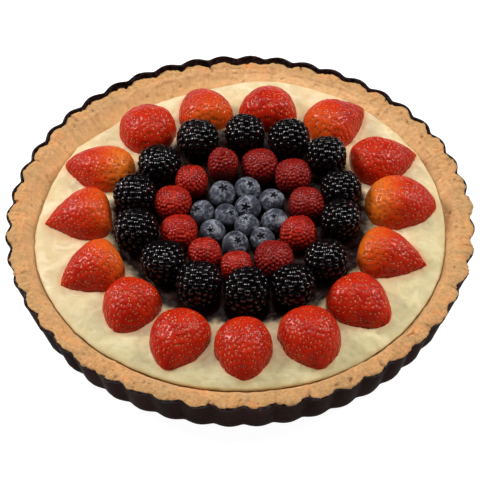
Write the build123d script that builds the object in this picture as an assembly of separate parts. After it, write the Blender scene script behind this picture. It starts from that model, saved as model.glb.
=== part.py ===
"""A fluted loose-bottom tart pan, 25 cm across, holding a baked pastry shell, custard and four rings of fruit.

Millimetres. +Z is up, and the origin is on the table under the middle of the pan.
"""

from build123d import *
import math
import os

# Pan: one fluted ring of coated steel sheet, with a lip turned in at the bottom, and a loose disc on that lip.
PAN_TOP_RADIUS = 125.0
PAN_BOTTOM_RADIUS = 117.5
PAN_HEIGHT = 25.0
SHEET = 0.8
FLUTES = 48
FLUTE_DEPTH_TOP = 2.4
FLUTE_DEPTH_BOTTOM = 1.6
CREASE_SHARE = 0.28
HEM_HEIGHT = 1.6
HEM_PROUD = 0.5
LIP_INNER_RADIUS = 108.0
BASE_RADIUS = 114.0
BASE_EDGE_ROUND = 0.3

# Pastry shell and its filling.
CRUST_CLEARANCE = 0.3
CRUST_FLOOR = 4.0
CRUST_FLOOR_RADIUS = 106.0
CRUST_TOP_INNER_RADIUS = 113.0
CUSTARD_EDGE_RADIUS = 109.3
CUSTARD_EDGE_DROP = 5.0
CUSTARD_TOP_DROP = 2.0
CUSTARD_FLAT_RADIUS = 99.0
MOUND_RADIUS = 25.0
MOUND_HEIGHT = 1.5
MOUND_EDGE = 3.0

# Levels that follow from the dimensions above.
BASE_BOTTOM_Z = SHEET
CRUST_BOTTOM_Z = BASE_BOTTOM_Z + SHEET
CRUST_FLOOR_Z = CRUST_BOTTOM_Z + CRUST_FLOOR
CUSTARD_EDGE_Z = PAN_HEIGHT - CUSTARD_EDGE_DROP
CUSTARD_TOP_Z = PAN_HEIGHT - CUSTARD_TOP_DROP
MOUND_TOP_Z = CUSTARD_TOP_Z + MOUND_HEIGHT

# Fruit: where each piece lies on the custard. A bearing is in degrees round from +X, and a distance is from the
# pan's axis to the middle of the piece. Berries lie closer or further apart, as a hand sets them.
# Halved strawberries, cut side down: bearing, distance, length, width, turn of the tip from straight outwards.
STRAWBERRIES = [
    (6, 86.5, 38, 32, -6),
    (28, 89.5, 37.5, 30, -12),
    (52, 89.5, 37, 31, -14),
    (78, 83.5, 32, 32, 2),
    (103, 84, 33, 30, 6),
    (127, 84, 32, 31, 6),
    (152, 85.5, 39, 29, 14),
    (177, 86, 36, 32, 10),
    (202, 84.8, 35, 31, 8),
    (226, 81.5, 32.5, 30, 12),
    (248.7, 86.5, 36, 30, -6),
    (270.5, 87, 36, 30, 0),
    (293, 88, 36, 31.5, -2),
    (316, 85.3, 35.6, 31, 6),
    (341.5, 84, 36.5, 31, 4),
]
# Brambles, whole black berries of many drupelets: bearing, distance, width, height.
BRAMBLES = [
    (14, 56, 21, 21),
    (38, 60, 21, 23),
    (61, 57, 22, 23),
    (86, 56, 21, 21),
    (113, 56, 22, 22),
    (141, 55, 22, 20),
    (167, 57, 22, 21),
    (193, 56, 23, 22),
    (220.5, 52.5, 23, 21),
    (246.5, 54.5, 23, 23),
    (273, 55.5, 23, 24),
    (297, 59, 22, 23),
    (322, 56.5, 22, 21),
    (351, 54, 21, 22),
]
# Whole raspberries, open end down: bearing, distance, width, height.
RASPBERRIES = [
    (8, 36, 18, 18),
    (41, 38.5, 19, 18),
    (71, 35, 19, 18),
    (104, 34, 16, 21),
    (138, 34, 17, 18),
    (168, 36, 19, 18),
    (200, 34, 19, 16),
    (237, 34, 17, 18),
    (267, 37, 16, 17),
    (298, 37, 20, 18),
    (334, 34, 19, 17),
]
# Blueberries: bearing, distance, diameter, tilt of the crown from upright, bearing that the crown leans to.
BLUEBERRIES = [
    (50, 7, 12.8, 41, 250),
    (180, 7, 12.4, 36, 328),
    (298, 8, 12.6, 10, 132),
    (30, 20, 12.8, 13, 330),
    (76, 19, 13.0, 18, 323),
    (120, 18, 13.4, 11, 308),
    (173, 20, 12.6, 37, 198),
    (217, 18, 12.4, 34, 249),
    (263, 20, 13.0, 24, 304),
    (305, 20.5, 12.2, 22, 249),
    (347, 19, 12.8, 15, 250),
]

# Half outlines of the fruit. A strawberry's runs from stalk end to tip, as shares of its length and width. A
# standing berry's runs from its flat end to its top, as shares of its width and height.
STRAWBERRY_OUTLINE = [
    (0.0, 0.0), (0.05, 0.26), (0.14, 0.42), (0.3, 0.5), (0.5, 0.46),
    (0.7, 0.345), (0.87, 0.2), (0.97, 0.08), (1.0, 0.0),
]  # fmt: skip
BRAMBLE_OUTLINE = [
    (0.3, 0.0), (0.42, 0.14), (0.5, 0.42), (0.46, 0.64),
    (0.34, 0.84), (0.18, 0.96), (0.06, 0.995), (0.0, 1.0),
]  # fmt: skip
RASPBERRY_OUTLINE = [
    (0.38, 0.0), (0.46, 0.14), (0.5, 0.36), (0.45, 0.6),
    (0.33, 0.82), (0.17, 0.955), (0.06, 0.995), (0.0, 1.0),
]  # fmt: skip
BLUEBERRY_OBLATE = 0.86
BLUEBERRY_SINK = 0.9
CROWN_RADIUS = 2.3
CROWN_DEPTH = 1.0


def polar(radius, degrees, z=0.0):
    """A point at that distance and bearing from the axis."""
    angle = math.radians(degrees)
    return Vector(radius * math.cos(angle), radius * math.sin(angle), z)


def fluted_face(crest_radius, depth, z):
    """A flat face whose edge is a ring of wide outward lobes, joined by narrow inward creases.

    Each lobe and each crease is one arc, and they are tangent where they meet.
    """
    half_pitch = 180.0 / FLUTES
    crease_half = CREASE_SHARE * half_pitch
    join_radius = crest_radius - depth * (1.0 - CREASE_SHARE)
    edges = []
    for k in range(FLUTES):
        crease = 2.0 * half_pitch * k
        lobe_start = polar(join_radius, crease + crease_half, z)
        lobe_end = polar(join_radius, crease + 2.0 * half_pitch - crease_half, z)
        next_start = polar(join_radius, crease + 2.0 * half_pitch + crease_half, z)
        crest = polar(crest_radius, crease + half_pitch, z)
        bottom = polar(crest_radius - depth, crease + 2.0 * half_pitch, z)
        edges.append(ThreePointArc(lobe_start, crest, lobe_end))
        edges.append(ThreePointArc(lobe_end, bottom, next_start))
    return make_face(edges)


def wall_radius(z):
    """Crest radius of the sheet's outer surface at a height."""
    top = PAN_TOP_RADIUS - HEM_PROUD
    return PAN_BOTTOM_RADIUS + (top - PAN_BOTTOM_RADIUS) * z / PAN_HEIGHT


def flute_depth(z):
    """Depth of the flutes at a height."""
    return FLUTE_DEPTH_BOTTOM + (FLUTE_DEPTH_TOP - FLUTE_DEPTH_BOTTOM) * z / PAN_HEIGHT


def fluted_solid(inset, z_low, z_high):
    """The solid inside the pan's outer surface, moved inwards by inset, between two heights."""
    faces = [fluted_face(wall_radius(z) - inset, flute_depth(z), z) for z in (z_low, z_high)]
    return loft(faces, ruled=True)


def fluted_ring():
    """Fluted wall with a hem round the rim and a flat lip turned in at the bottom."""
    body = fluted_solid(0.0, 0.0, PAN_HEIGHT)
    hem = fluted_face(PAN_TOP_RADIUS, FLUTE_DEPTH_TOP, PAN_HEIGHT - HEM_HEIGHT)
    body += extrude(hem, HEM_HEIGHT)
    body -= fluted_solid(SHEET, SHEET, PAN_HEIGHT + 1.0)
    return body - Cylinder(LIP_INNER_RADIUS, 4.0 * SHEET)


def loose_base():
    """Plain disc that rests on the lip."""
    disc = Cylinder(BASE_RADIUS, SHEET, align=(Align.CENTER, Align.CENTER, Align.MIN))
    disc = fillet(disc.edges(), BASE_EDGE_ROUND)
    return Pos(0, 0, BASE_BOTTOM_Z) * disc


def filling_outline(top_points):
    """Half section of what fills the shell: the floor, the sloping wall, then the points given."""
    points = [(0, CRUST_FLOOR_Z), (CRUST_FLOOR_RADIUS, CRUST_FLOOR_Z), (CUSTARD_EDGE_RADIUS, CUSTARD_EDGE_Z)]
    return Polyline(*points, *top_points)


def pastry_crust():
    """Shell with a fluted outside, which stays clear of the ring, and a round hollow."""
    body = fluted_solid(SHEET + CRUST_CLEARANCE, CRUST_BOTTOM_Z, PAN_HEIGHT)
    over = PAN_HEIGHT + 1.0
    slope = (CRUST_TOP_INNER_RADIUS - CUSTARD_EDGE_RADIUS) / CUSTARD_EDGE_DROP
    outline = filling_outline([(CRUST_TOP_INNER_RADIUS + slope, over), (0, over)])
    hollow = make_face(Plane.XZ * Polyline(*outline.vertices(), close=True))
    return body - revolve(hollow, Axis.Z)


def custard_filling(blueberries):
    """Custard with a flat top that rounds down to the crust, and a low mound with a dent for each blueberry."""
    wall = filling_outline([])
    shoulder = EllipticalCenterArc(
        (CUSTARD_FLAT_RADIUS, CUSTARD_EDGE_Z),
        CUSTARD_EDGE_RADIUS - CUSTARD_FLAT_RADIUS,
        CUSTARD_TOP_Z - CUSTARD_EDGE_Z,
        start_angle=0,
        arc_size=90,
    )
    top = Polyline(
        (CUSTARD_FLAT_RADIUS, CUSTARD_TOP_Z),
        (MOUND_RADIUS, CUSTARD_TOP_Z),
        (MOUND_RADIUS - MOUND_EDGE, MOUND_TOP_Z),
        (0, MOUND_TOP_Z),
        (0, CRUST_FLOOR_Z),
    )
    body = revolve(make_face(Plane.XZ * (wall + shoulder + top)), Axis.Z)
    for berry in blueberries:
        body -= berry
    return body


def on_custard(bearing, distance, turn=0.0):
    """Where a piece stands on the custard, with its own +X pointing outwards plus the turn."""
    return Pos(*polar(distance, bearing, CUSTARD_TOP_Z)) * Rot(0, 0, bearing + turn)


def placed_strawberry(bearing, distance, length, width, turn):
    """Half a strawberry on its cut face, with its stalk end towards the middle of the pan."""
    points = [(length * (x - 0.5), width * y) for x, y in STRAWBERRY_OUTLINE]
    side = Spline(*points)
    half = revolve(make_face(side + Line(points[-1], points[0])), Axis.X, 180)
    return on_custard(bearing, distance, turn) * half


def placed_berry(bearing, distance, width, height, outline_shares):
    """A whole bramble or raspberry that stands on its flat end."""
    points = [(width * x, height * y) for x, y in outline_shares]
    outline = Spline(*points) + Line(points[-1], (0, 0)) + Line((0, 0), points[0])
    return on_custard(bearing, distance) * revolve(make_face(Plane.XZ * outline), Axis.Z)


def blueberry(diameter):
    """A slightly flattened ball, centred on the origin, with a round crown sunk in its top."""
    half_height = BLUEBERRY_OBLATE * diameter / 2.0
    ball = scale(Sphere(diameter / 2.0), (1.0, 1.0, BLUEBERRY_OBLATE))
    crown = Pos(0, 0, half_height) * Cylinder(CROWN_RADIUS, 2.0 * CROWN_DEPTH)
    return ball - crown


def placed_blueberry(bearing, distance, diameter, tilt, lean):
    """A blueberry with its crown leaning to one side, sunk a little into the mound."""
    ball = Rot(0, 0, lean) * Rot(0, tilt, 0) * blueberry(diameter)
    spot = polar(distance, bearing, MOUND_TOP_Z - BLUEBERRY_SINK)
    return Pos(*spot) * Pos(0, 0, -ball.bounding_box().min.Z) * ball


def numbered(name, pieces):
    """Names pieces name_01, name_02 and so on."""
    return {f"{name}_{i:02d}": piece for i, piece in enumerate(pieces, 1)}


def all_parts():
    """Every sub-part by its node's name."""
    blueberries = [placed_blueberry(*row) for row in BLUEBERRIES]
    parts = {
        "fluted_ring": fluted_ring(),
        "loose_base": loose_base(),
        "pastry_crust": pastry_crust(),
        "custard_filling": custard_filling(blueberries),
    }
    parts |= numbered("strawberry", [placed_strawberry(*row) for row in STRAWBERRIES])
    parts |= numbered("bramble", [placed_berry(*row, BRAMBLE_OUTLINE) for row in BRAMBLES])
    parts |= numbered("raspberry", [placed_berry(*row, RASPBERRY_OUTLINE) for row in RASPBERRIES])
    parts |= numbered("blueberry", blueberries)
    return parts


os.makedirs("parts", exist_ok=True)
for node, shape in all_parts().items():
    export_step(shape, f"parts/{node}.step")
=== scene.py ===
"""The looks of a fluted loose-bottom tart pan with a fruit tart in it, built round its CAD frame.

Metres and radians inside Blender. Sizes marked MM are millimetres. A bearing is in degrees
from +X, seen from above.
"""

import math

import bmesh
import bpy
import numpy as np
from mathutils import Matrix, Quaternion, Vector, noise


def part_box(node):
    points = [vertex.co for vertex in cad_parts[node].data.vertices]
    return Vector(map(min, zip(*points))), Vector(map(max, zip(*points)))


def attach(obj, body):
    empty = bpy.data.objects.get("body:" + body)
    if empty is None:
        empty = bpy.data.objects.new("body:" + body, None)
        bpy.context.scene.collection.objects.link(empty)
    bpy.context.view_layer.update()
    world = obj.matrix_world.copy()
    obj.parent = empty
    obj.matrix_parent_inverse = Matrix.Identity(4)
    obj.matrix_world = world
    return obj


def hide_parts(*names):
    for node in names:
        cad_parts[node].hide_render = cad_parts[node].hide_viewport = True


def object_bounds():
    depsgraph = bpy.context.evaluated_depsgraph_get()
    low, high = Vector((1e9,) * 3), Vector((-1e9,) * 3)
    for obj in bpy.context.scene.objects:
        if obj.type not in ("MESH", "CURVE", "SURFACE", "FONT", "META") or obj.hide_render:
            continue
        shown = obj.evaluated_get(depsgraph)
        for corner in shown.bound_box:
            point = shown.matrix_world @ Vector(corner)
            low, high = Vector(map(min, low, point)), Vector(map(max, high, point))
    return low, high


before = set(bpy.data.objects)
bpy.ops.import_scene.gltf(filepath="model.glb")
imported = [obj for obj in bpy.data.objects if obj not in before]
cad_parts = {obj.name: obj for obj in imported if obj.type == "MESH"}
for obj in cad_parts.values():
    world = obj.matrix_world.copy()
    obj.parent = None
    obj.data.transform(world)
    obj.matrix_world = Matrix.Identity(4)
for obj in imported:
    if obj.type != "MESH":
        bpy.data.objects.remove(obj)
cad_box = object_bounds()

MM = 0.001
TAU = 2.0 * math.pi

# The pan's sheet, as the CAD has it.
FLUTES = 48
RIM_RADIUS = 124.5 * MM
FOOT_RADIUS = 117.5 * MM
RIM_Z = cad_box[0].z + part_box("fluted_ring")[1].z
FLUTE_DEPTH_TOP = 2.4 * MM
FLUTE_DEPTH_FOOT = 1.6 * MM
SHEET = 0.8 * MM
LIP_INNER_RADIUS = 108.0 * MM
CREASE_SHARPNESS = 0.035

# The shell and the custard in it.
CRUST_GAP = 1.1 * MM
CRUST_BOTTOM_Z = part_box("pastry_crust")[0].z
CRUST_FLOOR_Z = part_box("custard_filling")[0].z
CUSTARD_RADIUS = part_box("custard_filling")[1].x
CUSTARD_EDGE_Z = RIM_Z - 5.0 * MM
CUSTARD_TOP_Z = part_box("strawberry_01")[0].z
CRUST_INNER_TOP_RADIUS = 113.2 * MM
# Out to about this radius, the custard among the fruit is darkened with painted shade.
GAP_SHADE_RADIUS = 69.0 * MM


# ---------------------------------------------------------------- meshes


def rows_to_faces(rows, around, cap_first=False, cap_last=False):
    """Faces of a tube of closed rows, each with the same count of points.

    A cap is a fan to an extra point at the end of the list.
    """
    i = np.arange(rows - 1)[:, None] * around
    j = np.arange(around)[None, :]
    k = (j + 1) % around
    quads = np.stack([i + j, i + k, i + around + k, i + around + j], -1).reshape(-1, 4)
    faces = quads.tolist()
    pole = rows * around
    if cap_first:
        faces += [[pole, int(b), int(a)] for a, b in zip(j[0], k[0])]
        pole += 1
    if cap_last:
        last = (rows - 1) * around
        faces += [[pole, int(last + a), int(last + b)] for a, b in zip(j[0], k[0])]
    return faces


def grid_normals(points):
    """Unit normals of a closed-row grid, pointing left of the way along it."""
    along = np.gradient(points, axis=0)
    across = np.roll(points, -1, axis=1) - np.roll(points, 1, axis=1)
    normal = np.cross(across, along)
    return normal / np.maximum(np.linalg.norm(normal, axis=-1, keepdims=True), 1e-12)


def add_piece(name, points, faces, material, body, node=None, attributes=None):
    """A smooth mesh that rides on a CAD body, and stands for a CAD node if one is given."""
    mesh = bpy.data.meshes.new(name)
    mesh.from_pydata(np.asarray(points).reshape(-1, 3).tolist(), [], faces)
    mesh.polygons.foreach_set("use_smooth", [True] * len(mesh.polygons))
    for key, values in (attributes or {}).items():
        layer = mesh.attributes.new(key, "FLOAT", "POINT")
        layer.data.foreach_set("value", np.asarray(values, np.float32).ravel())
    mesh.materials.append(material)
    mesh.update()
    piece = bpy.data.objects.new(name, mesh)
    bpy.context.scene.collection.objects.link(piece)
    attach(piece, body)
    if node:
        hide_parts(node)
    return piece


def fractal(points, feature, octaves=4, seed=0.0, stretch=(1.0, 1.0, 1.0)):
    """Fractal noise of about -1 to 1 at each point, with features of that size."""
    flat = np.asarray(points).reshape(-1, 3) * (np.array(stretch) / feature) + seed
    values = [noise.fractal(Vector(p), 0.9, 2.1, octaves) for p in flat]
    return np.array(values).reshape(np.shape(points)[:-1])


def smoothstep(low, high, x):
    t = np.clip((x - low) / (high - low), 0.0, 1.0)
    return t * t * (3.0 - 2.0 * t)


def cylinder_points(radius, angle, z):
    """Points from radius, angle and height arrays, which are broadcast together."""
    radius, angle, z = np.broadcast_arrays(radius, angle, z)
    return np.stack([radius * np.cos(angle), radius * np.sin(angle), z], -1)


# ---------------------------------------------------------------- materials


class Shader:
    """A material with one Principled BSDF, and short ways to feed it."""

    def __init__(self, name, **values):
        self.material = bpy.data.materials.new(name)
        self.material.use_nodes = True
        self.tree = self.material.node_tree
        self.bsdf = self.tree.nodes["Principled BSDF"]
        for key, value in values.items():
            self.bsdf.inputs[key.replace("_", " ")].default_value = value
        self.place = self.tree.nodes.new("ShaderNodeTexCoord").outputs["Object"]

    def link(self, source, target):
        self.tree.links.new(source, target)

    def set(self, socket, source):
        self.link(source, self.bsdf.inputs[socket])

    def noise(self, feature, detail=4.0, roughness=0.55, distortion=0.0):
        """Noise with features of about that many metres."""
        node = self.tree.nodes.new("ShaderNodeTexNoise")
        node.inputs["Scale"].default_value = 1.0 / feature
        node.inputs["Detail"].default_value = detail
        node.inputs["Roughness"].default_value = roughness
        node.inputs["Distortion"].default_value = distortion
        self.link(self.place, node.inputs["Vector"])
        return node.outputs["Fac"]

    def attribute(self, name):
        node = self.tree.nodes.new("ShaderNodeAttribute")
        node.attribute_name = name
        return node.outputs["Fac"]

    def ramp(self, factor, *stops):
        """Colours or greys at positions: (position, value), with value a number or an (r, g, b)."""
        node = self.tree.nodes.new("ShaderNodeValToRGB")
        ramp = node.color_ramp
        while len(ramp.elements) < len(stops):
            ramp.elements.new(1.0)
        for element, (position, value) in zip(ramp.elements, stops):
            element.position = position
            rgb = (value,) * 3 if isinstance(value, float) else value
            element.color = (*rgb, 1.0)
        self.link(factor, node.inputs["Fac"])
        return node.outputs["Color"]

    def mix(self, factor, a, b, blend="MIX"):
        """Mixes a and b, each a socket or an (r, g, b)."""
        node = self.tree.nodes.new("ShaderNodeMix")
        node.data_type = "RGBA"
        node.blend_type = blend
        for key, value in (("Factor", factor), ("A", a), ("B", b)):
            index = {"Factor": 0, "A": 6, "B": 7}[key]
            if isinstance(value, bpy.types.NodeSocket):
                self.link(value, node.inputs[index])
            elif key == "Factor":
                node.inputs[index].default_value = value
            else:
                node.inputs[index].default_value = (*value, 1.0)
        return node.outputs[2]

    def math(self, operation, a, b):
        node = self.tree.nodes.new("ShaderNodeMath")
        node.operation = operation
        for index, value in enumerate((a, b)):
            if isinstance(value, bpy.types.NodeSocket):
                self.link(value, node.inputs[index])
            else:
                node.inputs[index].default_value = value
        return node.outputs[0]

    def bump(self, height, depth, strength=1.0, under=None):
        """Bump of about that many metres from black to white, over another bump if one is given."""
        node = self.tree.nodes.new("ShaderNodeBump")
        node.inputs["Strength"].default_value = strength
        node.inputs["Distance"].default_value = depth
        self.link(height, node.inputs["Height"])
        if under is not None:
            self.link(under, node.inputs["Normal"])
        self.set("Normal", node.outputs["Normal"])
        return node.outputs["Normal"]


def pan_material():
    s = Shader("nonstick_steel", IOR=1.2)
    s.bsdf.inputs["Specular IOR Level"].default_value = 0.01
    tone = s.ramp(s.noise(26 * MM, 4), (0.34, (0.009, 0.0036, 0.0022)), (0.66, (0.022, 0.0090, 0.0080)))
    worn = s.math("MULTIPLY", s.attribute("wear"), s.ramp(s.noise(2.2 * MM, 6), (0.42, 0.0), (0.6, 1.0)))
    s.set("Base Color", s.mix(worn, tone, (0.16, 0.15, 0.165)))
    s.set("Roughness", s.ramp(s.noise(6 * MM, 6, 0.65), (0.3, 0.34), (0.7, 0.50)))
    s.bump(s.noise(0.7 * MM, 3), 0.03 * MM)
    return s.material


def crust_material():
    s = Shader("baked_pastry", IOR=1.4, Subsurface_Weight=0.06, Subsurface_Scale=1.0 * MM)
    s.bsdf.inputs["Subsurface Radius"].default_value = (1.0, 0.5, 0.25)
    s.bsdf.inputs["Specular IOR Level"].default_value = 0.22
    tan = s.ramp(
        s.noise(13 * MM, 5, 0.62, 0.9),
        (0.32, (0.52, 0.310, 0.135)),
        (0.48, (0.60, 0.325, 0.130)),
        (0.58, (0.66, 0.330, 0.130)),
        (0.70, (0.74, 0.290, 0.095)),
    )
    dull = s.ramp(s.noise(5.5 * MM, 5, 0.6), (0.46, 0.0), (0.66, 0.55))
    tan = s.mix(dull, tan, (0.44, 0.260, 0.110))
    crumbs = s.ramp(s.noise(1.7 * MM, 6, 0.72), (0.3, 0.66), (0.5, 0.97), (0.7, 1.16))
    tan = s.mix(1.0, tan, crumbs, "MULTIPLY")
    freckles = s.ramp(s.noise(2.3 * MM, 3, 0.5), (0.645, 0.0), (0.72, 0.85))
    tan = s.mix(freckles, tan, (0.24, 0.115, 0.045))
    # Painted light: the inner slope is lightened, most at the back, where it lies in shade.
    tan = s.mix(s.attribute("slope"), tan, (0.84, 0.52, 0.25))
    # Darker brown where the pastry browned at its outer edge and along streaks, darker in cracks and pits,
    # and painted shade at the foot of the inner slope.
    s.set("Base Color", s.mix(s.attribute("browning_and_shade"), tan, (0.22, 0.10, 0.038)))
    s.set("Roughness", s.ramp(s.noise(3 * MM, 4), (0.3, 0.62), (0.7, 0.85)))
    coarse = s.bump(s.noise(2.6 * MM, 6, 0.7), 0.8 * MM, 0.8)
    s.bump(s.noise(0.6 * MM, 4, 0.7), 0.22 * MM, 0.8, coarse)
    return s.material


def custard_material():
    s = Shader("pastry_cream", IOR=1.4, Roughness=0.42, Subsurface_Weight=0.25, Subsurface_Scale=2.5 * MM)
    s.bsdf.inputs["Subsurface Radius"].default_value = (1.0, 0.75, 0.35)
    s.bsdf.inputs["Specular IOR Level"].default_value = 0.3
    cream = s.ramp(
        s.noise(11 * MM, 5, 0.58, 1.2),
        (0.30, (0.66, 0.515, 0.275)),
        (0.45, (0.680, 0.535, 0.305)),
        (0.58, (0.760, 0.625, 0.395)),
        (0.72, (0.830, 0.715, 0.490)),
    )
    warm = s.ramp(s.noise(34 * MM, 3, 0.5), (0.52, 0.0), (0.7, 0.5))
    cream = s.mix(warm, cream, (0.80, 0.60, 0.33))
    # Painted shade: a greener, darker cream towards the custard's front edge.
    shaded = s.ramp(s.noise(9 * MM, 4, 0.5, 0.8), (0.3, (0.52, 0.455, 0.220)), (0.7, (0.69, 0.620, 0.360)))
    cream = s.mix(s.attribute("shade"), cream, shaded)
    # A pinkish tint round each strawberry: partly berry-stained custard, partly painted red light bounced
    # off the fruit.
    cream = s.mix(s.attribute("stain_and_red_bounce"), cream, (0.78, 0.33, 0.16))
    # Near-black painted shade for the custard among the fruit.
    painted_gap_shade = s.ramp(s.noise(3 * MM, 3), (0.35, (0.010, 0.003, 0.002)), (0.65, (0.030, 0.008, 0.005)))
    s.set("Base Color", s.mix(s.attribute("painted_gap_shade"), cream, painted_gap_shade))
    s.set("Roughness", s.ramp(s.noise(5 * MM, 3), (0.3, 0.36), (0.7, 0.55)))
    s.bump(s.noise(2.6 * MM, 4, 0.5), 0.34 * MM, 0.8)
    return s.material


def strawberry_material():
    s = Shader("strawberry_skin", IOR=1.42, Coat_Weight=0.17, Coat_Roughness=0.10)
    s.bsdf.inputs["Specular IOR Level"].default_value = 0.18
    s.bsdf.inputs["Subsurface Weight"].default_value = 0.12
    s.bsdf.inputs["Subsurface Radius"].default_value = (1.0, 0.14, 0.05)
    s.bsdf.inputs["Subsurface Scale"].default_value = 1.5 * MM
    red = s.ramp(s.noise(8 * MM, 4), (0.35, (0.40, 0.008, 0.002)), (0.65, (0.54, 0.022, 0.004)))
    blotch = s.math("ADD", s.attribute("unripe"), s.math("MULTIPLY", s.noise(4.5 * MM, 5), 0.35))
    flesh = s.ramp(blotch, (0.22, 0.0), (0.62, 1.0))
    orange = s.ramp(
        blotch,
        (0.40, (0.60, 0.034, 0.004)),
        (0.75, (0.67, 0.078, 0.006)),
        (1.0, (0.70, 0.145, 0.012)),
    )
    colour = s.mix(flesh, red, orange)
    # Painted shade: the skin is darker in each seed's dimple.
    s.set("Base Color", s.mix(s.attribute("dimple"), colour, (0.24, 0.006, 0.004)))
    s.set("Roughness", s.ramp(s.noise(1.5 * MM, 3), (0.3, 0.26), (0.7, 0.40)))
    s.bump(s.noise(0.9 * MM, 3), 0.05 * MM, 0.6)
    return s.material


def seed_material():
    s = Shader("strawberry_seed", IOR=1.45)
    straw = s.ramp(s.noise(4 * MM, 3), (0.35, (0.46, 0.120, 0.025)), (0.65, (0.70, 0.30, 0.080)))
    s.set("Base Color", straw)
    s.set("Roughness", s.ramp(s.noise(0.4 * MM, 2), (0.3, 0.35), (0.7, 0.55)))
    return s.material


def bramble_material():
    s = Shader("bramble_drupelets", IOR=1.45, Coat_Roughness=0.13, Coat_IOR=1.65)
    s.set("Coat Weight", s.attribute("gloss"))
    s.bsdf.inputs["Specular IOR Level"].default_value = 0.02
    black = s.ramp(s.noise(9 * MM, 3), (0.35, (0.0016, 0.0013, 0.0014)), (0.65, (0.0045, 0.0026, 0.0030)))
    reddish = s.ramp(s.attribute("tint"), (0.95, 0.0), (1.0, 1.0))
    s.set("Base Color", s.mix(reddish, black, (0.020, 0.002, 0.004)))
    s.set("Roughness", s.ramp(s.noise(1.2 * MM, 3), (0.3, 0.22), (0.7, 0.36)))
    s.bump(s.noise(0.8 * MM, 2), 0.03 * MM, 0.5)
    return s.material


def raspberry_material():
    s = Shader("raspberry_drupelets", IOR=1.4, Coat_Roughness=0.20)
    s.set("Coat Weight", s.math("MULTIPLY", s.attribute("gloss"), 0.65))
    s.bsdf.inputs["Specular IOR Level"].default_value = 0.07
    s.bsdf.inputs["Subsurface Weight"].default_value = 0.15
    s.bsdf.inputs["Subsurface Radius"].default_value = (1.0, 0.12, 0.08)
    s.bsdf.inputs["Subsurface Scale"].default_value = 1.2 * MM
    red = s.ramp(
        s.attribute("tint"),
        (0.0, (0.20, 0.004, 0.002)),
        (0.5, (0.29, 0.008, 0.003)),
        (1.0, (0.42, 0.019, 0.006)),
    )
    # Darker on the dark raspberries, and painted shade towards the base of each berry.
    red = s.mix(s.attribute("dark"), red, (0.12, 0.004, 0.005))
    bloom = s.ramp(s.noise(1.1 * MM, 3), (0.48, 0.0), (0.75, 0.25))
    s.set("Base Color", s.mix(bloom, red, (0.48, 0.045, 0.025)))
    s.set("Roughness", s.ramp(s.noise(1.5 * MM, 3), (0.3, 0.36), (0.7, 0.52)))
    s.bump(s.noise(0.45 * MM, 3), 0.05 * MM, 0.6)
    return s.material


def blueberry_material():
    s = Shader("blueberry_bloom", IOR=1.4, Sheen_Weight=0.06)
    s.bsdf.inputs["Sheen Roughness"].default_value = 0.5
    s.bsdf.inputs["Specular IOR Level"].default_value = 0.25
    bloom = s.ramp(
        s.noise(4.5 * MM, 6, 0.66, 0.8),
        (0.38, (0.018, 0.018, 0.027)),
        (0.5, (0.052, 0.056, 0.078)),
        (0.62, (0.25, 0.26, 0.295)),
    )
    scuffs = s.ramp(s.noise(1.6 * MM, 5, 0.6), (0.6, 0.0), (0.72, 0.75))
    skin = s.mix(scuffs, bloom, (0.020, 0.019, 0.028))
    skin = s.mix(s.attribute("pale"), skin, (0.26, 0.27, 0.30))
    # Painted shade: darker skin underneath, reaching a little higher on the back.
    skin = s.mix(s.attribute("under"), skin, (0.022, 0.022, 0.034))
    s.set("Base Color", s.mix(s.attribute("crater"), skin, (0.006, 0.005, 0.007)))
    s.set("Roughness", s.ramp(s.noise(3 * MM, 4), (0.3, 0.48), (0.7, 0.68)))
    s.bump(s.noise(0.6 * MM, 3), 0.03 * MM, 0.5)
    return s.material


# ---------------------------------------------------------------- pan


def flute_shape(angle):
    """0 on the crest of a lobe and 1 in a crease, which lies at each whole multiple of the pitch."""
    s = np.sin(angle * FLUTES / 2.0) ** 2
    floor = math.sqrt(CREASE_SHARPNESS / (1.0 + CREASE_SHARPNESS))
    return (1.0 - np.sqrt((s + CREASE_SHARPNESS) / (1.0 + CREASE_SHARPNESS))) / (1.0 - floor)


def sheet_wobble(angle, z):
    """Small handling dents, nothing at the foot and largest at the rim."""
    bends = 0.18 * np.sin(3.0 * angle + 1.0) + 0.12 * np.sin(7.0 * angle + 4.0)
    bends += 0.10 * np.sin(19.0 * angle)
    return bends * MM * z / RIM_Z


def wall_radius(angle, z):
    """Outside of the pan's sheet."""
    share = z / RIM_Z
    crest = FOOT_RADIUS + (RIM_RADIUS - FOOT_RADIUS) * share
    depth = FLUTE_DEPTH_FOOT + (FLUTE_DEPTH_TOP - FLUTE_DEPTH_FOOT) * share
    return crest - depth * flute_shape(angle) + sheet_wobble(angle, z)


def arc(count, start, end):
    """Unit circle offsets (out, up) from one angle in degrees to another."""
    return [(math.cos(math.radians(a)), math.sin(math.radians(a))) for a in np.linspace(start, end, count)]


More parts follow.
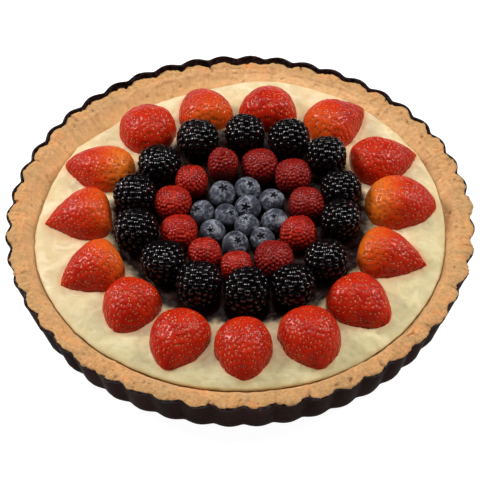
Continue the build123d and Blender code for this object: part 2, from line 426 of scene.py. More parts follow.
def build_pan_ring(material):
    """One closed skin round the fluted sheet: lip, foot corner, wall, rolled bead and back down inside."""
    around = FLUTES * 20
    angle = np.linspace(0.0, TAU, around, endpoint=False)
    corner, bead, inner_corner = 1.5 * MM, 0.62 * MM, 0.9 * MM
    rows, wear = [], []

    def row(radius, z, worn):
        rows.append(cylinder_points(radius, angle, z))
        wear.append(np.full(around, worn))

    for share in (0.0, 0.35, 0.7):
        radius = LIP_INNER_RADIUS + (wall_radius(angle, 0.0) - corner - LIP_INNER_RADIUS) * share
        row(radius, 0.0, 0.5)
    for out, up in arc(6, -90, 0):
        row(wall_radius(angle, 0.0) - corner + corner * out, corner + corner * up, 0.3)
    for z in np.linspace(3.0 * MM, RIM_Z - 2.6 * MM, 9):
        row(wall_radius(angle, z), z, 0.02)
    bead_z = RIM_Z - bead
    for out, up in arc(13, -55, 235):
        row(wall_radius(angle, bead_z) - 0.35 * MM + bead * out, bead_z + bead * up, 0.22)
    for z in np.linspace(RIM_Z - 2.2 * MM, SHEET + inner_corner, 9):
        row(wall_radius(angle, z) - SHEET, z, 0.1)
    for out, up in arc(4, 0, -90):
        radius = wall_radius(angle, 0.0) - SHEET - inner_corner * (1.0 - out)
        row(radius, SHEET + inner_corner * (1.0 + up), 0.1)
    for share in (0.65, 0.3, 0.004):
        radius = LIP_INNER_RADIUS + (wall_radius(angle, 0.0) - corner - LIP_INNER_RADIUS) * share
        row(radius, SHEET, 0.4)
    rows.append(rows[0])
    points = np.array(rows)
    count = len(rows) - 1
    faces = rows_to_faces(count + 1, around)
    wrap = [[v % (count * around) for v in face] for face in faces]
    values = {"wear": np.array(wear)}
    add_piece("pan_ring", points[:-1], wrap, material, "ring", "fluted_ring", values)


# ---------------------------------------------------------------- crust


# How far the custard's edge moves in and down where the shell is thickest.
DIP_INWARDS = 4.3 * MM
DIP_DOWN = 6.5 * MM

# Rounding of the shell's outer and inner top edges, and the steepness of its inner slope.
OUTER_EDGE_ROUND = 1.5 * MM
INNER_EDGE_ROUND = 3.4 * MM
INNER_SLOPE_DEGREES = 52
FLUTES_TOP_MM = 18.5
CRACK_HALF_WIDTH = 0.50 * MM
CRACK_OUTER_MM = 122.5


def crust_lift(angle):
    """How far the top of the shell stands above the rim: lowest at the back, and low at the left."""
    back = np.clip(np.sin(angle), 0.0, 1.0) ** 1.8
    left = 0.5 - 0.5 * np.cos(angle)
    return (0.70 - 2.9 * back - 0.7 * left) * MM


def crust_spread(angle):
    """How far the shell's top edge spreads over the rim: most at the front, less at the right and left."""
    front = smoothstep(0.1, 0.8, 0.5 - 0.5 * np.sin(angle))
    right = smoothstep(0.45, 0.9, 0.5 + 0.5 * np.cos(angle))
    left = smoothstep(0.6, 0.95, 0.5 - 0.5 * np.cos(angle))
    return (0.9 * np.maximum(front, np.maximum(0.75 * right, 0.5 * left)) - 0.15) * MM


def crust_dip(angle):
    """Up to 1 at the back left, where the custard sits low and the shell is thick.

    About half of that goes on to the left, and the rest is 0.
    """
    degrees = np.degrees(angle) % 360.0
    deep = smoothstep(78.0, 106.0, degrees) * (1.0 - smoothstep(132.0, 156.0, degrees))
    slight = 0.48 * smoothstep(132.0, 150.0, degrees) * (1.0 - smoothstep(166.0, 186.0, degrees))
    return np.maximum(deep, slight)


def shell_foot_radius(angle):
    """Radius of the shell's slope under the custard's edge: wider at the front's two sides, and uneven."""
    degrees = np.degrees(angle) % 360.0
    right = smoothstep(272.0, 296.0, degrees) * (1.0 - smoothstep(338.0, 358.0, degrees))
    left = smoothstep(180.0, 198.0, degrees) * (1.0 - smoothstep(222.0, 240.0, degrees))
    uneven = 0.45 * fractal(cylinder_points(0.11, angle, 0.0), 11 * MM, 4, 41.0)
    widened = (1.4 * right + 1.0 * left + uneven - 0.3) * MM
    return CUSTARD_RADIUS + widened - DIP_INWARDS * crust_dip(angle)


def custard_edge(angle):
    """Radius and height of the custard's edge. It laps onto the slope, but stops just short at the front."""
    gap = 0.38 * MM * smoothstep(0.25, 0.7, 0.5 - 0.5 * np.sin(angle))
    return shell_foot_radius(angle) + 0.3 * MM - gap, CUSTARD_EDGE_Z - DIP_DOWN * crust_dip(angle)


# Per crack: bearing, length in from the rim in millimetres, and relative depth.
CRUST_CRACKS = [
    (157, 7.0, 0.9), (203, 4.0, 0.6), (238, 5.0, 0.7), (286, 4.5, 0.6), (322, 5.5, 0.7),
    (350, 6.0, 0.9), (20, 5.5, 0.8), (47, 5.0, 0.7), (76, 4.0, 0.6), (121, 5.0, 0.8),
    (97, 9.0, 1.0), (139, 8.0, 0.7), (172, 5.0, 0.6), (262, 4.0, 0.5), (306, 6.0, 0.7), (336, 4.5, 0.6),
]  # fmt: skip


def build_crust(material):
    """Shell with a fluted outside, a crumbly uneven top, and a hollow that the custard fills."""
    around = FLUTES * 30
    angle = np.linspace(0.0, TAU, around, endpoint=False)
    unit = cylinder_points(1.0, angle, 0.0)
    ragged = fractal(unit * 0.12, 9 * MM, 4, 3.0)
    nibble = fractal(unit * 0.12, 3.2 * MM, 3, 11.0)
    lift = crust_lift(angle) + 0.45 * MM * ragged + 0.25 * MM * nibble
    top_z = RIM_Z + lift
    overhang = crust_spread(angle) + 0.9 * MM * ragged + 0.55 * MM * nibble
    rows, browning_and_shade = [], []

    def outside(z):
        """Outer surface at a height: inside the sheet below the rim, and free to spread above it."""
        above = smoothstep(RIM_Z - 0.9 * MM, RIM_Z + 0.25 * MM, z)
        below = np.minimum(0.0, overhang) * smoothstep(RIM_Z - 7 * MM, RIM_Z - 1 * MM, z)
        inside = wall_radius(angle, np.minimum(z, RIM_Z)) - CRUST_GAP
        return inside + below + above * (np.maximum(0.0, overhang) + 0.7 * MM)

    for radius in (0.03, 0.06, 0.09, 0.108):
        rows.append(cylinder_points(radius, angle, CRUST_BOTTOM_Z))
        browning_and_shade.append(np.full(around, 0.2))
    for height in (0.0, 0.25, 1.0, 3.0, 6.0, 9.0, 12.0, 15.0, 17.0, FLUTES_TOP_MM):
        z = CRUST_BOTTOM_Z + height * MM
        rows.append(cylinder_points(outside(z) - (0.8 * MM if height == 0.0 else 0.0), angle, z))
        browning_and_shade.append(np.full(around, 0.25))
    shoulder_z = top_z - OUTER_EDGE_ROUND
    flutes_top_z = CRUST_BOTTOM_Z + FLUTES_TOP_MM * MM
    for share in (0.35, 0.7, 1.0):
        z = flutes_top_z + (shoulder_z - flutes_top_z) * share
        rows.append(cylinder_points(outside(z), angle, z))
        browning_and_shade.append(np.full(around, 0.3))
    for out, up in arc(8, 11, 90):
        z = shoulder_z + OUTER_EDGE_ROUND * up
        radius = outside(np.maximum(z, shoulder_z)) - OUTER_EDGE_ROUND * (1.0 - out)
        rows.append(cylinder_points(radius, angle, z))
        browning_and_shade.append(np.full(around, 0.55 * (1.0 - up) + 0.12))

    inner = CRUST_INNER_TOP_RADIUS + 0.6 * MM * fractal(unit * 0.11, 16 * MM, 3, 7.0)
    start = outside(top_z) - OUTER_EDGE_ROUND
    for share in np.linspace(0.0, 1.0, 17)[1:]:
        radius = start + (inner + INNER_EDGE_ROUND - start) * share
        bow = 0.35 * MM * math.sin(math.pi * share)
        rows.append(cylinder_points(radius, angle, top_z + bow))
        browning_and_shade.append(np.full(around, 0.0))
    slope = math.radians(INNER_SLOPE_DEGREES)
    for turn in np.linspace(0.0, slope, 7)[1:]:
        radius = inner + INNER_EDGE_ROUND * (1.0 - math.sin(turn))
        z = top_z - INNER_EDGE_ROUND * (1.0 - math.cos(turn))
        rows.append(cylinder_points(radius, angle, z))
        browning_and_shade.append(np.full(around, 0.05))
    top_of_slope_r = inner + INNER_EDGE_ROUND * (1.0 - math.sin(slope))
    top_of_slope_z = top_z - INNER_EDGE_ROUND * (1.0 - math.cos(slope))
    edge_z = custard_edge(angle)[1]
    foot_r = shell_foot_radius(angle)
    foot_z = edge_z - 1.0 * MM
    for share in np.linspace(0.0, 1.0, 18)[1:]:
        radius = top_of_slope_r + (foot_r - top_of_slope_r) * share
        z = top_of_slope_z + (foot_z - top_of_slope_z) * share
        rows.append(cylinder_points(radius, angle, z))
        # Painted shade, darker towards the foot of the inner slope next to the custard.
        browning_and_shade.append(np.full(around, 0.30 * share**9))
    hollow_r, hollow_z = 103.2 * MM, CRUST_FLOOR_Z - 0.2 * MM
    for share in (0.35, 0.7, 1.0):
        radius = foot_r + (hollow_r - foot_r) * share
        rows.append(cylinder_points(radius, angle, foot_z + (hollow_z - foot_z) * share))
        browning_and_shade.append(np.full(around, 0.1))
    for radius in (80.0, 50.0, 20.0):
        rows.append(cylinder_points(radius * MM, angle, hollow_z))
        browning_and_shade.append(np.full(around, 0.1))

    points = np.array(rows)
    browning_and_shade = np.array(browning_and_shade)
    # Rough from the rounding of the outer edge to the foot of the slope.
    first_rough, last_rough = 17, len(rows) - 6
    rough = np.zeros(len(rows))
    rough[first_rough:last_rough] = 1.0
    rough[first_rough - 3 : first_rough] = (0.1, 0.3, 0.6)
    rough[last_rough - 3 : last_rough] = (0.7, 0.4, 0.2)
    normals = grid_normals(points)
    lumps = 0.55 * fractal(points, 7 * MM, 3, 1.0) + 0.26 * fractal(points, 2.2 * MM, 4, 5.0)
    band = slice(first_rough - 3, last_rough)
    push = np.zeros(points.shape[:2])
    push[band] = lumps[band] * rough[band, None]

    degrees = np.degrees(angle)
    radius = np.hypot(points[..., 0], points[..., 1])
    for bearing, length, depth in CRUST_CRACKS:
        wander = 0.9 * MM * fractal(points[band], 4 * MM, 3, bearing)
        across = np.radians((degrees - bearing + 180.0) % 360.0 - 180.0) * radius[band] + wander
        reach = smoothstep(0.0, 3 * MM, radius[band] - (CRACK_OUTER_MM - length) * MM)
        cut = np.exp(-((across / CRACK_HALF_WIDTH) ** 2)) * reach
        push[band] -= 1.4 * depth * cut * rough[band, None]
        browning_and_shade[band] = np.maximum(browning_and_shade[band], 0.55 * cut)
    pits = np.clip(fractal(points[band], 3.4 * MM, 2, 21.0) - 0.56, 0.0, 1.0)
    push[band] -= 2.2 * pits * rough[band, None]
    browning_and_shade[band] = np.maximum(browning_and_shade[band], 1.6 * pits)
    streaks = fractal(cylinder_points(0.12, angle, 0.22 * radius[band]), 2.4 * MM, 4, 51.0)
    push[band] += 0.30 * streaks * rough[band, None]
    browning_and_shade[band] = browning_and_shade[band] + 0.16 * np.clip(streaks, 0.0, 1.0)
    points = points + normals * (push * MM)[..., None]
    # Painted light on the inner slope, strongest at the back, where it lies in shade.
    slope = smoothstep(CRUST_INNER_TOP_RADIUS + 4.0 * MM, CRUST_INNER_TOP_RADIUS + 0.6 * MM, radius)
    slope = slope * smoothstep(10 * MM, 12 * MM, points[..., 2])
    painted_light_share = 0.15 + 0.50 * (0.5 + 0.5 * np.sin(angle))[None, :]
    points = np.concatenate([points.reshape(-1, 3), [[0, 0, CRUST_BOTTOM_Z]], [[0, 0, hollow_z]]])
    values = {
        "browning_and_shade": np.concatenate([np.clip(browning_and_shade, 0, 1).ravel(), [0.2, 0.1]]),
        "slope": np.concatenate([(slope * painted_light_share).ravel(), [0.0, 0.0]]),
    }
    faces = rows_to_faces(len(rows), around, cap_first=True, cap_last=True)
    add_piece("pastry_shell", points, faces, material, "tart", "pastry_crust", values)


# ---------------------------------------------------------------- custard


def custard_height(points):
    """Height of the custard's surface at plan points, before any fruit is pressed in."""
    radius = np.hypot(points[..., 0], points[..., 1])
    angle = np.arctan2(points[..., 1], points[..., 0])
    edge_r, edge_z = custard_edge(angle)
    start = 97 * MM - 2.0 * MM * crust_dip(angle)
    run = np.clip((radius - start) / (edge_r - start), 0.0, 1.0)
    shoulder = (CUSTARD_TOP_Z - edge_z) * (1.0 - np.sqrt(np.clip(1.0 - run**2.4, 0.0, 1.0)))
    warp = 0.5 * fractal(points, 30 * MM, 2, 2.0)
    strokes = np.sin(radius / (2.6 * MM) + 4.0 * warp + 2.0 * np.sin(angle * 5.0)) * 0.20
    swirl = fractal(points, 13 * MM, 4, 8.0) * 1.05
    ridges = fractal(points, 6.5 * MM, 4, 61.0) * 0.42
    fade = smoothstep(0.0, 6 * MM, edge_r - radius)
    return CUSTARD_TOP_Z - shoulder + (strokes + swirl + ridges) * MM * fade


def build_custard(material, fruit):
    """Spread custard: it rises softly round each strawberry, and painted shade darkens its middle, among the
    fruit.
    """
    around = 900
    angle = np.linspace(0.0, TAU, around, endpoint=False)
    edge_r, edge_z = custard_edge(angle)
    hidden_part, spread_part = np.linspace(0.04, 0.55, 20), np.linspace(0.56, 0.97, 88)
    share = np.concatenate([hidden_part, spread_part, np.linspace(0.973, 1.0, 12)])
    points = cylinder_points(share[:, None] * edge_r[None, :], angle[None, :], 0.0).copy()
    height = custard_height(points)
    stain_and_red_bounce = np.zeros(height.shape)
    for tip, stalk, width in fruit:
        centre = (tip + stalk) / 2.0
        along = (tip - stalk) / np.linalg.norm(tip - stalk)
        offset = points[..., :2] - centre[:2]
        u = offset @ along[:2] / (np.linalg.norm(tip - stalk) / 2.0)
        v = (offset @ np.array([-along[1], along[0]])) / (width / 2.0)
        away = np.hypot(u, v * (1.0 + 0.35 * np.clip(u, 0, 1))) - 1.0
        height += 0.45 * MM * np.exp(-((away / 0.10) ** 2))
        # Pinkish ring just outside each strawberry: berry stains and painted red bounce light.
        stain_and_red_bounce = np.maximum(stain_and_red_bounce, 0.30 * np.exp(-((np.maximum(away, 0.0) / 0.09) ** 2)))
    radius = np.hypot(points[..., 0], points[..., 1])
    # Painted shade: the custard among the fruit is darkened out to about that radius, with a wandering edge,
    # and less of it in a patch near 217 degrees.
    wander = 2.0 * MM * fractal(points, 8 * MM, 3, 17.0)
    lit_patch = 5.0 * MM * np.exp(-(((np.degrees(angle) - 217.0) / 14.0) ** 2))[None, :]
    spread = radius + 1.7 * wander + lit_patch
    painted_gap_shade = 1.0 - smoothstep(GAP_SHADE_RADIUS - 3.0 * MM, GAP_SHADE_RADIUS + 3.0 * MM, spread)
    # Painted shade over the front of the custard, towards its edge.
    front = smoothstep(0.35, 0.88, 0.5 - 0.5 * np.sin(angle - 0.35))[None, :]
    shade = 0.85 * front * smoothstep(84 * MM, 103 * MM, radius + wander)
    points[..., 2] = height
    rim_r, rim_z = edge_r - 0.6 * MM, edge_z - 1.2 * MM
    base_r, base_z = 102.6 * MM, CRUST_FLOOR_Z + 0.1 * MM
    below = [
        cylinder_points(rim_r + (base_r - rim_r) * k, angle, rim_z + (base_z - rim_z) * k)
        for k in (0, 0.5, 1)
    ]
    below += [cylinder_points(radius * MM, angle, base_z) for radius in (60.0, 20.0)]
    rows = np.concatenate([points, np.array(below)])
    verts = np.concatenate([rows.reshape(-1, 3), [[0, 0, height[0].mean()]], [[0, 0, base_z]]])
    faces = rows_to_faces(len(rows), around, cap_first=True, cap_last=True)
    faces = [face[::-1] for face in faces]
    hidden = np.zeros(len(below) * around)
    values = {
        "stain_and_red_bounce": np.concatenate([stain_and_red_bounce.ravel(), hidden, [0.0, 0.0]]),
        "painted_gap_shade": np.concatenate([painted_gap_shade.ravel(), hidden, [1.0, 0.0]]),
        "shade": np.concatenate([shade.ravel(), hidden, [0.0, 0.0]]),
    }
    add_piece("custard", verts, faces, material, "tart", "custard_filling", values)


# ---------------------------------------------------------------- strawberries

STRAWBERRY_SINK = 0.9 * MM
STRAWBERRY_LUMP = 0.55 * MM
DIMPLE_DEPTH = 0.55 * MM
DIMPLE_RADIUS = 0.78 * MM
SEED_SIZE = 0.50 * MM

# Per strawberry: how pointed the tip is, how unripe the stalk end is, a side bow, how square the section is.
STRAWBERRY_LOOKS = [
    (0.58, 0.85, 0.02, 2.2),
    (0.84, 0.10, -0.02, 2.1),
    (0.82, 0.42, 0.03, 2.0),
    (0.66, 0.06, 0.00, 2.1),
    (0.74, 0.50, 0.00, 2.1),
    (0.52, 0.10, -0.03, 2.3),
    (0.74, 0.80, 0.02, 2.0),
    (0.95, 0.45, -0.02, 2.0),
    (0.85, 0.62, 0.03, 2.0),
    (0.68, 0.20, -0.06, 2.2),
    (0.62, 0.10, -0.05, 2.2),
    (0.62, 0.08, 0.00, 2.2),
    (0.57, 0.06, 0.03, 2.3),
    (0.66, 0.06, 0.04, 2.1),
    (0.95, 0.62, 0.00, 2.0),
]


def strawberry_axis(node):
    """Tip, stalk end and width of a CAD strawberry, from its own solid."""
    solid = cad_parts[node].data
    co = np.zeros(len(solid.vertices) * 3)
    solid.vertices.foreach_get("co", co)
    co = co.reshape(-1, 3)
    flat = co[:, :2]
    tip = flat[np.argmax(np.hypot(*flat.T))]
    stalk = flat[np.argmax(np.hypot(*(flat - tip).T))]
    along = (tip - stalk) / np.linalg.norm(tip - stalk)
    width = np.ptp(flat @ np.array([-along[1], along[0]]))
    return np.array([*tip, CUSTARD_TOP_Z]), np.array([*stalk, CUSTARD_TOP_Z]), width


def seed_layout(rng, length, width, profile):
    """(share along, turn over the back) of seeds in staggered rows, closer towards the tip."""
    seeds, position, row = [], 0.05, 0
    while position < 0.97:
        gap = (2.9 - 0.6 * position) * MM
        half_turn = math.pi * width / 2.0 * profile(position)
        count = max(2, int(round(half_turn / gap)))
        for k in range(count + 1):
            turn = math.pi * (k + 0.5 * (row % 2) + 0.30 * rng.standard_normal()) / count
            if 0.02 < turn < math.pi - 0.02:
                seeds.append((position + 0.016 * rng.standard_normal(), turn))
        position += gap * 0.88 / length
        row += 1
    return np.array(seeds)


def build_strawberry(node, looks, skin, seed_skin):
    """Half a strawberry on its cut face, with a seed in each dimple."""
    rng = np.random.default_rng(int(node[-2:]) + 40)
    tip, stalk, width = strawberry_axis(node)
    pointed, unripe, bow, square = looks
    length = np.linalg.norm(tip - stalk)
    along = (tip - stalk) / length
    side = np.array([-along[1], along[0], 0.0])
    up = np.array([0.0, 0.0, 1.0])
    peak = 0.42 / (0.42 + pointed)
    top = peak**0.42 * (1.0 - peak) ** pointed

    def profile(t):
        t = np.clip(t, 1e-5, 1.0 - 1e-5)
        return t**0.42 * (1.0 - t) ** pointed / top

    def surface(t, turn):
        """A point on the smooth skin, from the share along and the turn over the back."""
        c, s = np.cos(turn), np.sin(turn)
        stretch = (np.abs(c) ** square + np.abs(s) ** square) ** (-1.0 / square)
        half = width / 2.0 * profile(t) * stretch
        lean = bow * length * np.sin(math.pi * t)
        height = half * s * 1.04
        local = np.stack(np.broadcast_arrays(t * length, half * c + lean, height), -1)
        return stalk + local[..., :1] * along + local[..., 1:2] * side + local[..., 2:3] * up

    rows, arc_points, chord_points = 120, 92, 5
    t = 0.5 - 0.5 * np.cos(np.linspace(0.05, math.pi - 0.05, rows))
    turns = np.linspace(0.0, math.pi, arc_points)
    shell = surface(t[:, None], turns[None, :])
    lump = fractal(shell, 11 * MM, 2, 31.0 + int(node[-2:]))
    centre = (tip + stalk) / 2.0
    outward = shell - centre
    outward /= np.linalg.norm(outward, axis=-1, keepdims=True)
    shell = shell + outward * (STRAWBERRY_LUMP * lump)[..., None]

    seeds = seed_layout(rng, length, width, profile)
    seed_at = surface(np.clip(seeds[:, 0], 0.02, 0.985), seeds[:, 1])
    seed_lump = fractal(seed_at, 11 * MM, 2, 31.0 + int(node[-2:]))
    seed_out = seed_at - centre
    seed_out /= np.linalg.norm(seed_out, axis=-1, keepdims=True)
    seed_at = seed_at + seed_out * (STRAWBERRY_LUMP * seed_lump)[..., None]

    along_grid = np.gradient(shell, axis=0)
    across_grid = np.gradient(shell, axis=1)
    normal = np.cross(across_grid, along_grid)
    normal /= np.maximum(np.linalg.norm(normal, axis=-1, keepdims=True), 1e-12)
    if np.mean(np.sum(normal * outward, -1)) < 0:
        normal = -normal
    flat = shell.reshape(-1, 3)
    dimple = np.zeros(len(flat))
    nearest = np.zeros(len(seeds), int)
    for k, spot in enumerate(seed_at):
        distance = np.linalg.norm(flat - spot, axis=1)
        dimple = np.maximum(dimple, np.exp(-((distance / DIMPLE_RADIUS) ** 2)))
        nearest[k] = np.argmin(distance)
    dimple = dimple.reshape(shell.shape[:2])
    shell = shell - normal * (DIMPLE_DEPTH * dimple)[..., None]

    below = shell.copy()
    below[:, 0, 2] -= STRAWBERRY_SINK
    below[:, -1, 2] -= STRAWBERRY_SINK
    start, end = below[:, -1], below[:, 0]
    shares = np.linspace(0.0, 1.0, chord_points)
    chord = start[:, None] + (end - start)[:, None] * shares[None, :, None]
    loop = np.concatenate([shell, chord], axis=1)
    around = loop.shape[1]
    poles = np.array([stalk - up * STRAWBERRY_SINK / 2, tip - up * STRAWBERRY_SINK / 2])
    faces = rows_to_faces(rows, around, cap_first=True, cap_last=True)

    grid_t = np.broadcast_to(t[:, None], (rows, around))
    turn_share = np.concatenate([turns, np.linspace(math.pi, TAU, chord_points)])
    green = unripe * (smoothstep(0.75, 0.0, grid_t) + 0.25 * np.sin(turn_share)[None, :] * (1.0 - grid_t))
    # Painted shade in the seed dimples.
    painted_dimple_shade = np.concatenate([dimple * 0.55, np.zeros((rows, chord_points))], axis=1)
    name = node + "_half"
    body = add_piece(
        name, np.concatenate([loop.reshape(-1, 3), poles]), faces, skin, "tart", node,
        {
            "unripe": np.concatenate([green.ravel(), [unripe, 0.0]]),
            "dimple": np.concatenate([painted_dimple_shade.ravel(), [0.0, 0.0]]),
        },
    )  # fmt: skip
    fix_winding(body)
    flat_normal = normal.reshape(-1, 3)
    base = shell.reshape(-1, 3)
    build_seeds(node + "_seeds", base[nearest], flat_normal[nearest], along, seed_skin, rng)


def fix_winding(piece):
    """Turns the faces outwards if the mesh encloses a negative volume."""
    bm = bmesh.new()
    bm.from_mesh(piece.data)
    if bm.calc_volume(signed=True) < 0:
        bmesh.ops.reverse_faces(bm, faces=bm.faces)
        bm.to_mesh(piece.data)
    bm.free()


def build_seeds(name, spots, normals, along, material, rng):
    """Small teardrop seeds, one in each dimple, with their long side along the fruit."""
    around, rows = 8, 5
    angle = np.linspace(0.0, TAU, around, endpoint=False)
    points, faces = [], []
    for spot, normal in zip(spots, normals):
        if spot[2] < CUSTARD_TOP_Z + 0.3 * MM:
            continue
        grain = along - normal * (along @ normal)
        grain /= max(np.linalg.norm(grain), 1e-9)
        flank = np.cross(normal, grain)
        size = SEED_SIZE * (1.0 + 0.15 * rng.standard_normal())
        offset = len(points)
        for lift in np.linspace(-0.8, 0.8, rows):
            ring = math.cos(lift * math.pi / 2.0 * 0.98)
            for a in angle:
                taper = 1.0 - 0.25 * lift
                points.append(
                    spot + grain * size * lift * 1.15
                    + (flank * math.cos(a) * 0.62 + normal * math.sin(a) * 0.42) * size * ring * taper
                    + normal * 0.06 * MM
                )  # fmt: skip
        points.append(spot - grain * size * 1.05 + normal * 0.06 * MM)
        points.append(spot + grain * size * 1.0 + normal * 0.06 * MM)
        local = rows_to_faces(rows, around, cap_first=True, cap_last=True)
        faces += [[offset + v for v in face] for face in local]
    fix_winding(add_piece(name, np.array(points), faces, material, "tart"))


# ---------------------------------------------------------------- berries of drupelets


DARK_RASPBERRIES = (1, 2, 3, 4, 10)
BERRY_FULLNESS = 2.35

# Per kind: count of drupelets, radius of one, most tilt of the berry in degrees, growth over the CAD, seed.
BRAMBLE_BUILD = (116, 2.05 * MM, 75.0, 1.05, 200)
RASPBERRY_BUILD = (250, 1.30 * MM, 30.0, 1.04, 300)


def icosphere(level):
    """Unit directions and faces of a subdivided icosahedron."""
    bm = bmesh.new()
    bmesh.ops.create_icosphere(bm, subdivisions=level, radius=1.0)
    points = np.array([v.co[:] for v in bm.verts])
    faces = [[v.index for v in f.verts] for f in bm.faces]
    bm.free()
    return points / np.linalg.norm(points, axis=1, keepdims=True), faces


def random_tilt(rng, most):
    """A rotation that leans the berry's own axis by up to most degrees, to any side."""
    lean = math.radians(most) * math.sqrt(rng.random())
    to, spin = rng.random(2) * TAU
    z = np.array([math.sin(lean) * math.cos(to), math.sin(lean) * math.sin(to), math.cos(lean)])
    x = np.cross([0.0, 1.0, 0.0], z)
    x /= np.linalg.norm(x)
    y = np.cross(z, x)
    return np.stack([x * math.cos(spin) + y * math.sin(spin), y * math.cos(spin) - x * math.sin(spin), z])


def spread_apart(directions, rounds=14):
    """Unit directions after each has been pushed away from its near neighbours a few times."""
    spacing = math.sqrt(4.0 * math.pi / len(directions))
    for _ in range(rounds):
        directions = directions / np.linalg.norm(directions, axis=1, keepdims=True)
        away = directions[:, None] - directions[None, :]
        distance = np.linalg.norm(away, axis=-1)
        np.fill_diagonal(distance, np.inf)
        shove = np.clip(1.25 * spacing - distance, 0.0, None) / distance
        directions = directions + 0.22 * np.sum(away * shove[..., None], axis=1)
    return directions / np.linalg.norm(directions, axis=1, keepdims=True)


def build_drupelets(node, sphere, material, build, dark=0.0):
    """One closed skin over a berry of many small round drupelets, evenly but irregularly spread."""
    count, bulge, tilt, grow, seed = build
    directions, faces = sphere
    number = int(node[-2:])
    rng = np.random.default_rng(number + seed)
    low, high = (np.array(corner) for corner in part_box(node))
    centre, half = (low + high) / 2.0, (high - low) / 2.0
    half[:2] *= grow
    centre[2] -= 0.4 * MM
    golden = math.pi * (3.0 - math.sqrt(5.0))
    k = np.arange(count) + 0.5
    z = 1.0 - 2.0 * k / count
    ring = np.sqrt(1.0 - z * z)
    spiral = np.stack([ring * np.cos(golden * k), ring * np.sin(golden * k), z], -1)
    spiral += rng.standard_normal(spiral.shape) * 0.50 * math.sqrt(4.0 / count)
    spiral = spread_apart(spiral @ random_tilt(rng, tilt))

    def body_radius(d):
        """The berry's overall shape: a full ellipsoid, a little narrower at the top, and uneven."""
        shape = np.sum(np.abs(d / half) ** BERRY_FULLNESS, axis=-1) ** (-1.0 / BERRY_FULLNESS)
        uneven = 0.05 * fractal(d, 0.9, 2, 5.0 * number)
        return shape * (1.0 + uneven - 0.06 * np.clip(d[..., 2], 0.0, 1.0) ** 2)

    size = bulge * (1.0 + 0.12 * rng.standard_normal(count))
    middle = (body_radius(spiral) - size)[:, None] * spiral
    reach = directions @ middle.T
    inside = reach**2 - np.sum(middle**2, axis=1)[None, :] + size[None, :] ** 2
    hit = np.where(inside > 0.0, reach + np.sqrt(np.maximum(inside, 0.0)), 0.0)
    owner = np.argmax(hit, axis=1)
    outwards = directions * hit.max(axis=1)[:, None] - middle[owner]
    outwards /= np.linalg.norm(outwards, axis=1, keepdims=True)
    gloss = smoothstep(0.66, 0.88, np.sum(outwards * spiral[owner], axis=1))
    radius = np.maximum(hit.max(axis=1), 0.80 * body_radius(directions))
    points = centre + directions * radius[:, None]
    # Painted shade: darker towards the berry's base.
    painted_low_shade = 1.0 - smoothstep(-0.25, 0.55, directions[:, 2])
    values = {
        "tint": rng.random(count)[owner],
        "dark": np.clip(dark + 0.75 * painted_low_shade, 0.0, 1.0),
        "gloss": gloss,
    }
    add_piece(node + "_whole", points, faces, material, "tart", node, values)


# ---------------------------------------------------------------- blueberries

BLUEBERRY_GROW = 1.09
BLUEBERRY_OBLATE = 0.87
STAR_RADIUS = 0.245

# Per blueberry: how far its crown leans from upright, and the bearing that it leans to, as in the CAD.
BLUEBERRY_CROWNS = [
    (41, 250), (36, 328), (10, 132), (13, 330), (18, 323), (11, 308),
    (37, 198), (34, 249), (24, 304), (22, 249), (15, 250),
]  # fmt: skip


def build_blueberry(node, crown_place, material):
    """A slightly flattened berry with a five-pointed calyx crater and a raised lip round it."""
    rng = np.random.default_rng(int(node[-2:]) + 90)
    low, high = (np.array(corner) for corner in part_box(node))
    centre = (low + high) / 2.0
    tilt, lean = (math.radians(value) for value in crown_place)
    crown = np.array([math.sin(tilt) * math.cos(lean), math.sin(tilt) * math.sin(lean), math.cos(tilt)])
    x = np.cross(crown, [0.31, 0.95, 0.05])
    x /= np.linalg.norm(x)
    y = np.cross(crown, x)
    wide = np.max(high - low) / 2.0 * BLUEBERRY_GROW
    tall = wide * BLUEBERRY_OBLATE

    around = 100
    polar = np.concatenate([np.linspace(0.03, 0.62, 30), np.linspace(0.66, math.pi - 0.05, 44)])
    turn = np.linspace(0.0, TAU, around, endpoint=False)
    theta, phi = np.meshgrid(polar, turn, indexing="ij")
    points_of_star = 0.38 * np.cos(5.0 * phi + rng.random() * TAU)
    star = STAR_RADIUS * (1.0 + points_of_star + 0.06 * np.cos(2.0 * phi + 1.0))
    star *= 1.0 + 0.16 * rng.standard_normal()
    inside = smoothstep(star * 1.12, star * 0.72, theta)
    lip = np.exp(-(((theta - star * 1.35) / 0.11) ** 2))
    squash = 1.0 + 0.02 * np.cos(2.0 * phi + rng.random() * TAU)
    radius = wide * np.sin(theta) * squash
    height = tall * np.cos(theta)
    points = (
        centre
        + radius[..., None] * (np.cos(phi)[..., None] * x + np.sin(phi)[..., None] * y)
        + height[..., None] * crown
    )
    outward = points - centre
    outward /= np.linalg.norm(outward, axis=-1, keepdims=True)
    push = 0.42 * lip - 1.15 * inside - 0.35 * np.exp(-((theta / 0.5) ** 2))
    push += 0.10 * fractal(points, 5 * MM, 2, 3.0)
    points = points + outward * (push * MM)[..., None]
    # Painted shade on the underside, reaching a little higher on the back.
    under = smoothstep(0.42, -0.25, outward[..., 2] - 0.25 * outward[..., 1])
    floor = points[0].mean(0)
    bottom = points[-1].mean(0)
    verts = np.concatenate([points.reshape(-1, 3), [floor], [bottom]])
    faces = rows_to_faces(len(polar), around, cap_first=True, cap_last=True)
    values = {
        "crater": np.concatenate([np.clip(inside, 0, 1).ravel(), [1.0, 0.0]]),
        "pale": np.concatenate([0.40 * lip.ravel(), [0.0, 0.0]]),
        "under": np.concatenate([0.95 * under.ravel(), [0.0, 0.0]]),
    }
    piece = add_piece(node + "_whole", verts, faces, material, "tart", node, values)
    fix_winding(piece)


# ---------------------------------------------------------------- stage


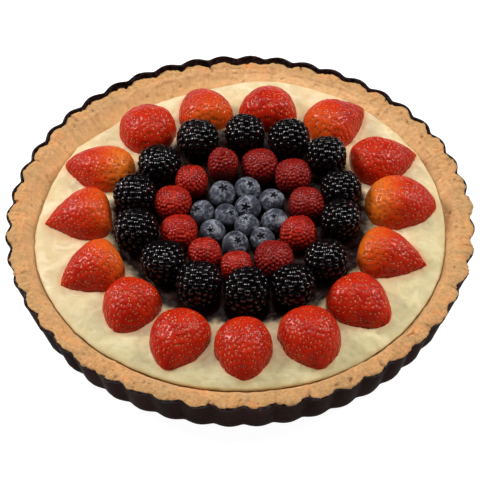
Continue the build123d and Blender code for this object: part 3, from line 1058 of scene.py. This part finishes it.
# The camera: degrees up from the table, and metres from the rim's middle.
CAMERA_ELEVATION = 48.9
CAMERA_DISTANCE = 1.25
CAMERA_LENS = 176.6
CAMERA_AIM_DROP = 10.1 * MM
CAMERA_ROLL = 1.1

FLOOR_HALF = 3.0
FLOOR_GLOW = 0.96
WORLD_GLOW = 0.10


def area_light(name, place, target, size, power, mirrored=True):
    """A square softbox. One that isn't mirrored lights surfaces without showing as a reflection in them."""
    light = bpy.data.lights.new(name, "AREA")
    light.shape = "SQUARE"
    light.size = size
    light.energy = power
    holder = bpy.data.objects.new(name, light)
    holder.visible_glossy = mirrored
    holder.location = place
    holder.rotation_euler = (Vector(target) - Vector(place)).to_track_quat("-Z", "Y").to_euler()
    bpy.context.scene.collection.objects.link(holder)


def build_stage():
    """White table, a softbox to each side and one above, a broad fill, and the camera."""
    s = Shader("white_table", Roughness=0.7)
    s.set("Base Color", s.ramp(s.noise(40 * MM, 3), (0.3, (0.33, 0.33, 0.33)), (0.7, (0.36, 0.36, 0.36))))
    s.bsdf.inputs["Emission Color"].default_value = (1.0, 1.0, 1.0, 1.0)
    s.bsdf.inputs["Emission Strength"].default_value = FLOOR_GLOW
    half = FLOOR_HALF
    corners = [(-half, -half, 0), (half, -half, 0), (half, half, 0), (-half, half, 0)]
    mesh = bpy.data.meshes.new("table")
    mesh.from_pydata(corners, [], [[0, 1, 2, 3]])
    mesh.materials.append(s.material)
    table = bpy.data.objects.new("table", mesh)
    bpy.context.scene.collection.objects.link(table)

    middle = (0.0, 0.0, 0.03)
    area_light("softbox_left", (-0.88, 0.34, 0.72), middle, 0.34, 9.0)
    area_light("softbox_right", (0.88, 0.30, 0.78), middle, 0.38, 7.2)
    area_light("softbox_above", (0.0, 0.14, 1.25), middle, 0.26, 5.0)
    area_light("softbox_fill", (0.0, 0.5, 1.5), middle, 1.2, 5.5, mirrored=False)

    world = bpy.data.worlds.new("studio")
    world.use_nodes = True
    world.node_tree.nodes["Background"].inputs["Color"].default_value = (1.0, 1.0, 1.0, 1.0)
    world.node_tree.nodes["Background"].inputs["Strength"].default_value = WORLD_GLOW
    world.cycles_visibility.glossy = False
    bpy.context.scene.world = world

    elevation = math.radians(CAMERA_ELEVATION)
    back = Vector((0.0, -math.cos(elevation), math.sin(elevation)))
    image_up = Vector((0.0, math.sin(elevation), math.cos(elevation)))
    rim_centre = Vector((0.0, 0.0, RIM_Z))
    camera = bpy.data.objects.new("camera", bpy.data.cameras.new("camera"))
    camera.data.sensor_width = 36.0
    camera.data.lens = CAMERA_LENS
    camera.data.clip_start = 0.05
    camera.location = rim_centre + back * CAMERA_DISTANCE
    view = (rim_centre - image_up * CAMERA_AIM_DROP - camera.location).to_track_quat("-Z", "Y")
    camera.rotation_mode = "QUATERNION"
    camera.rotation_quaternion = view @ Quaternion((0.0, 0.0, 1.0), math.radians(-CAMERA_ROLL))
    bpy.context.scene.collection.objects.link(camera)
    bpy.context.scene.camera = camera
    bpy.context.scene.view_settings.view_transform = "Standard"


# ---------------------------------------------------------------- everything

pan = pan_material()
build_pan_ring(pan)
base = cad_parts["loose_base"]
base.data.materials.clear()
base.data.materials.append(pan)

strawberries = [f"strawberry_{i:02d}" for i in range(1, 16)]
build_crust(crust_material())
build_custard(custard_material(), [strawberry_axis(node) for node in strawberries])
skin, seed_skin = strawberry_material(), seed_material()
for node, looks in zip(strawberries, STRAWBERRY_LOOKS):
    build_strawberry(node, looks, skin, seed_skin)
sphere = icosphere(6)
black, red, blue = bramble_material(), raspberry_material(), blueberry_material()
for i in range(1, 15):
    build_drupelets(f"bramble_{i:02d}", sphere, black, BRAMBLE_BUILD)
for i in range(1, 12):
    dark = 0.6 if i in DARK_RASPBERRIES else 0.0
    build_drupelets(f"raspberry_{i:02d}", sphere, red, RASPBERRY_BUILD, dark)
for i, crown_place in enumerate(BLUEBERRY_CROWNS, 1):
    build_blueberry(f"blueberry_{i:02d}", crown_place, blue)
build_stage()
